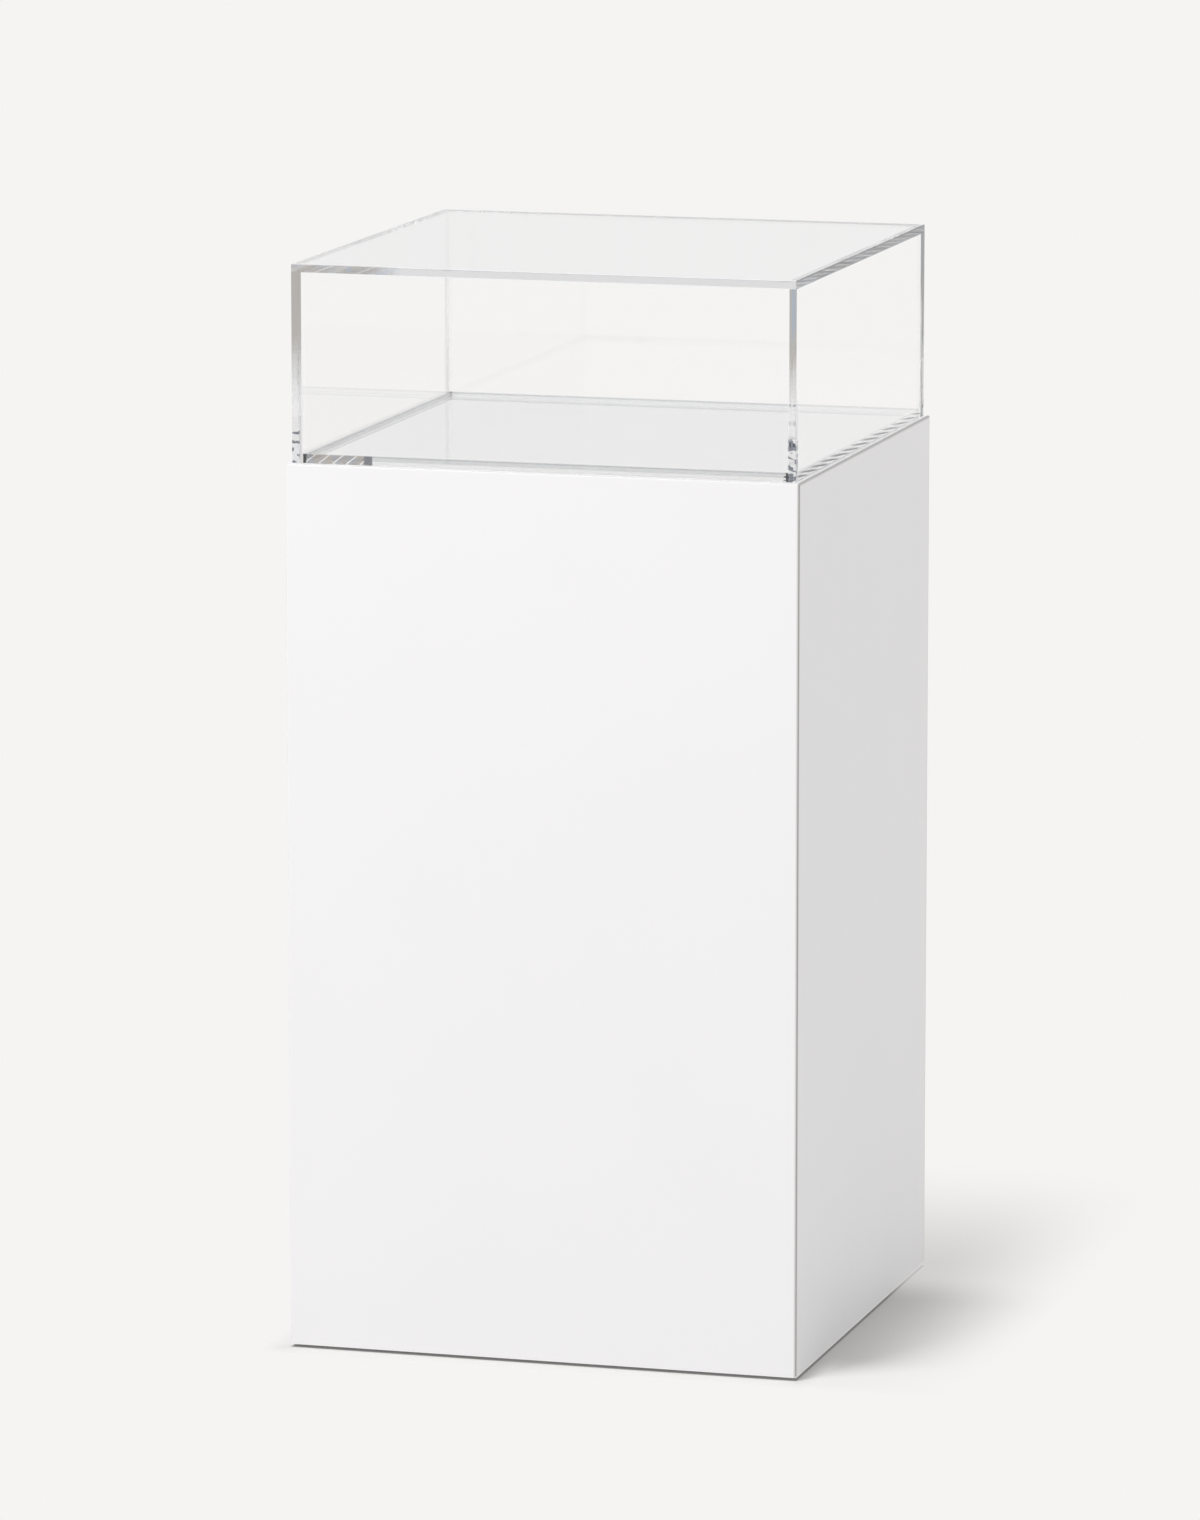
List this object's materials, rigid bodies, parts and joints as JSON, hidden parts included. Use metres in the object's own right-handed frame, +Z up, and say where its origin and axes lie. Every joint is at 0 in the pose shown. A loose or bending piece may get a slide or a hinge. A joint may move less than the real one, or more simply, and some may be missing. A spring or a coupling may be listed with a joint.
{
  "type": "pedestal display case",
  "caption": "White square plinth on levelling feet, with clear locating strips and a clear base plate on its deck, and a clear welded cover that lifts off to open the display space.",
  "frame": {"origin": "on the floor, under the middle of the plinth", "axes": "+Z up, -Y the front of the plinth, +X its right side as seen from the front"},
  "size_m": [0.5, 0.5, 1.041],
  "materials": {
    "clear_acrylic": "clear cast sheet, polished faces and edges",
    "white_lacquer": "satin white lacquer on fibreboard, filled mitres",
    "softwood": "planed softwood, bare",
    "fibreboard": "bare fibreboard",
    "zinc_steel": "bright zinc plate",
    "pad_nylon": "moulded nylon, fine grain"
  },
  "bodies": {
    "plinth": {"locating_strip_front": "clear_acrylic", "locating_strip_back": "clear_acrylic", "locating_strip_left": "clear_acrylic", "locating_strip_right": "clear_acrylic", "base_plate": "clear_acrylic", "deck_panel": "white_lacquer", "front_panel": "white_lacquer", "back_panel": "white_lacquer", "left_panel": "white_lacquer", "right_panel": "white_lacquer", "batten_front_left": "softwood", "batten_front_right": "softwood", "batten_back_left": "softwood", "batten_back_right": "softwood", "deck_cleat_front": "softwood", "deck_cleat_back": "softwood", "deck_cleat_left": "softwood", "deck_cleat_right": "softwood", "base_rail_front": "softwood", "base_rail_back": "softwood", "base_rail_left": "softwood", "base_rail_right": "softwood", "foot_block_front_left": "fibreboard", "foot_block_front_right": "fibreboard", "foot_block_back_left": "fibreboard", "foot_block_back_right": "fibreboard", "middle_rib": "fibreboard", "threaded_inserts": "zinc_steel", "deck_cleat_screws": "zinc_steel", "base_rail_screws": "zinc_steel", "foot_block_screws": "zinc_steel"},
    "cover": {"cover_top": "clear_acrylic", "cover_front": "clear_acrylic", "cover_back": "clear_acrylic", "cover_left": "clear_acrylic", "cover_right": "clear_acrylic"},
    "pad_front_left": {"foot_pad_front_left": "pad_nylon"},
    "stem_front_left": {"foot_stem_front_left": "zinc_steel"},
    "pad_front_right": {"foot_pad_front_right": "pad_nylon"},
    "stem_front_right": {"foot_stem_front_right": "zinc_steel"},
    "pad_back_left": {"foot_pad_back_left": "pad_nylon"},
    "stem_back_left": {"foot_stem_back_left": "zinc_steel"},
    "pad_back_right": {"foot_pad_back_right": "pad_nylon"},
    "stem_back_right": {"foot_stem_back_right": "zinc_steel"}
  },
  "joints": [
    {"name": "cover_lift", "type": "slide", "parent": "plinth", "child": "cover", "axis": [0, 0, 1], "range_m": [0, 0.25]},
    {"name": "foot_travel_front_left", "type": "slide", "parent": "plinth", "child": "pad_front_left", "axis": [0, 0, -1], "range_m": [-0.003, 0.012]},
    {"name": "foot_turn_front_left", "type": "hinge", "parent": "pad_front_left", "child": "stem_front_left", "pos_m": [-0.18, -0.18, 0], "axis": [0, 0, -1], "range_deg": [-900, 3600]},
    {"name": "foot_travel_front_right", "type": "slide", "parent": "plinth", "child": "pad_front_right", "axis": [0, 0, -1], "range_m": [-0.003, 0.012]},
    {"name": "foot_turn_front_right", "type": "hinge", "parent": "pad_front_right", "child": "stem_front_right", "pos_m": [0.18, -0.18, 0], "axis": [0, 0, -1], "range_deg": [-900, 3600]},
    {"name": "foot_travel_back_left", "type": "slide", "parent": "plinth", "child": "pad_back_left", "axis": [0, 0, -1], "range_m": [-0.003, 0.012]},
    {"name": "foot_turn_back_left", "type": "hinge", "parent": "pad_back_left", "child": "stem_back_left", "pos_m": [-0.18, 0.18, 0], "axis": [0, 0, -1], "range_deg": [-900, 3600]},
    {"name": "foot_travel_back_right", "type": "slide", "parent": "plinth", "child": "pad_back_right", "axis": [0, 0, -1], "range_m": [-0.003, 0.012]},
    {"name": "foot_turn_back_right", "type": "hinge", "parent": "pad_back_right", "child": "stem_back_right", "pos_m": [0.18, 0.18, 0], "axis": [0, 0, -1], "range_deg": [-900, 3600]}
  ],
  "couplings": [
    {"joint": "foot_turn_front_left", "follows": "foot_travel_front_left", "rad_per_m": 5026.5},
    {"joint": "foot_turn_front_right", "follows": "foot_travel_front_right", "rad_per_m": 5026.5},
    {"joint": "foot_turn_back_left", "follows": "foot_travel_back_left", "rad_per_m": 5026.5},
    {"joint": "foot_turn_back_right", "follows": "foot_travel_back_right", "rad_per_m": 5026.5}
  ]
}
